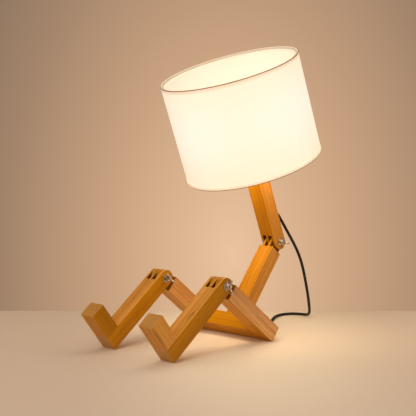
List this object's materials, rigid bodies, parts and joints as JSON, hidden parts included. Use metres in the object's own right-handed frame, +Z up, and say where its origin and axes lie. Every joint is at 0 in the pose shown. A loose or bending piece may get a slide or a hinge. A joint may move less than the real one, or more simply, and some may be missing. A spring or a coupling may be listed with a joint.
{
  "type": "posable wooden desk lamp",
  "caption": "Seated figure desk lamp of wooden bars with clamped finger joints at knees and neck, a fabric drum shade as its head and a black mains lead",
  "frame": {"origin": "on the surface that the lamp sits on, under the middle of its bounding box without the free lead", "axes": "+X is the figure's left, +Y its back, +Z up; the figure faces -Y"},
  "size_m": [0.243, 0.4824, 0.4832],
  "materials": {
    "oiled_hardwood": "oiled, satin",
    "dowel_wood": "raw",
    "zinc_plated_steel": "zinc plated",
    "black_bakelite": "satin",
    "ceramic": "glazed",
    "brass": "bare",
    "plated_brass": "nickel plated",
    "aluminium": "bare",
    "opal_glass": "opal",
    "white_wire": "powder coated",
    "linen": "woven cotton on a plastic liner",
    "hem_tape": "folded tape",
    "lead_pvc": "matt",
    "rubber": "matt",
    "tie_plastic": "matt",
    "plug_pvc": "matt"
  },
  "bodies": {
    "frame": {"left_thigh": "oiled_hardwood", "right_thigh": "oiled_hardwood", "crossbar": "oiled_hardwood", "spine": "oiled_hardwood", "hip_dowels": "dowel_wood", "spine_dowels": "dowel_wood", "cord_drop": "lead_pvc", "cord_coil": "lead_pvc", "coil_tie": "tie_plastic", "cord_tail": "lead_pvc", "plug_body": "plug_pvc", "plug_pins": "plated_brass"},
    "left_leg": {"left_shin": "oiled_hardwood", "left_foot": "oiled_hardwood", "left_foot_dowels": "dowel_wood", "left_knee_bolt": "zinc_plated_steel", "left_knee_washers": "zinc_plated_steel"},
    "left_nut": {"left_wing_nut": "zinc_plated_steel"},
    "right_leg": {"right_shin": "oiled_hardwood", "right_foot": "oiled_hardwood", "right_foot_dowels": "dowel_wood", "right_knee_bolt": "zinc_plated_steel", "right_knee_washers": "zinc_plated_steel"},
    "right_nut": {"right_wing_nut": "zinc_plated_steel"},
    "head": {"neck_post": "oiled_hardwood", "neck_bolt": "zinc_plated_steel", "neck_washers": "zinc_plated_steel", "holder_nipple": "zinc_plated_steel", "holder_cap": "black_bakelite", "holder_shell": "black_bakelite", "holder_disc": "ceramic", "holder_sleeve": "brass", "holder_ring": "black_bakelite", "shade_fitter": "white_wire", "shade_drum": "linen", "shade_top_hem": "hem_tape", "shade_bottom_hem": "hem_tape", "shade_top_wire": "white_wire", "shade_bottom_wire": "white_wire", "inner_lead": "lead_pvc", "cord_relief": "rubber"},
    "neck_nut": {"neck_wing_nut": "zinc_plated_steel"},
    "switch": {"switch_bar": "black_bakelite"},
    "bulb": {"bulb_cap": "aluminium", "bulb_globe": "opal_glass"}
  },
  "joints": [
    {"name": "left_knee", "type": "hinge", "parent": "frame", "child": "left_leg", "pos_m": [0.0665, -0.0543, 0.10075], "axis": [1, 0, 0], "range_deg": [-61, 28]},
    {"name": "right_knee", "type": "hinge", "parent": "frame", "child": "right_leg", "pos_m": [-0.0665, -0.0543, 0.10075], "axis": [1, 0, 0], "range_deg": [-61, 28]},
    {"name": "neck_tilt", "type": "hinge", "parent": "frame", "child": "head", "pos_m": [0, 0.1513, 0.1495], "axis": [1, 0, 0], "range_deg": [-59, 25], "deforming": ["cord_drop"]},
    {"name": "left_nut_turn", "type": "hinge", "parent": "left_leg", "child": "left_nut", "pos_m": [0.0665, -0.0543, 0.10075], "axis": [1, 0, 0], "range_deg": [-10, 360]},
    {"name": "right_nut_turn", "type": "hinge", "parent": "right_leg", "child": "right_nut", "pos_m": [-0.0665, -0.0543, 0.10075], "axis": [1, 0, 0], "range_deg": [-10, 360]},
    {"name": "neck_nut_turn", "type": "hinge", "parent": "head", "child": "neck_nut", "pos_m": [0, 0.1513, 0.1495], "axis": [1, 0, 0], "range_deg": [-10, 360]},
    {"name": "switch_push", "type": "slide", "parent": "head", "child": "switch", "axis": [1, 0, 0], "range_m": [-0.003, 0.003]},
    {"name": "bulb_turn", "type": "hinge", "parent": "head", "child": "bulb", "pos_m": [0, 0.07801, 0.33558], "axis": [0, -0.3665, 0.9304], "range_deg": [0, 360]}
  ]
}
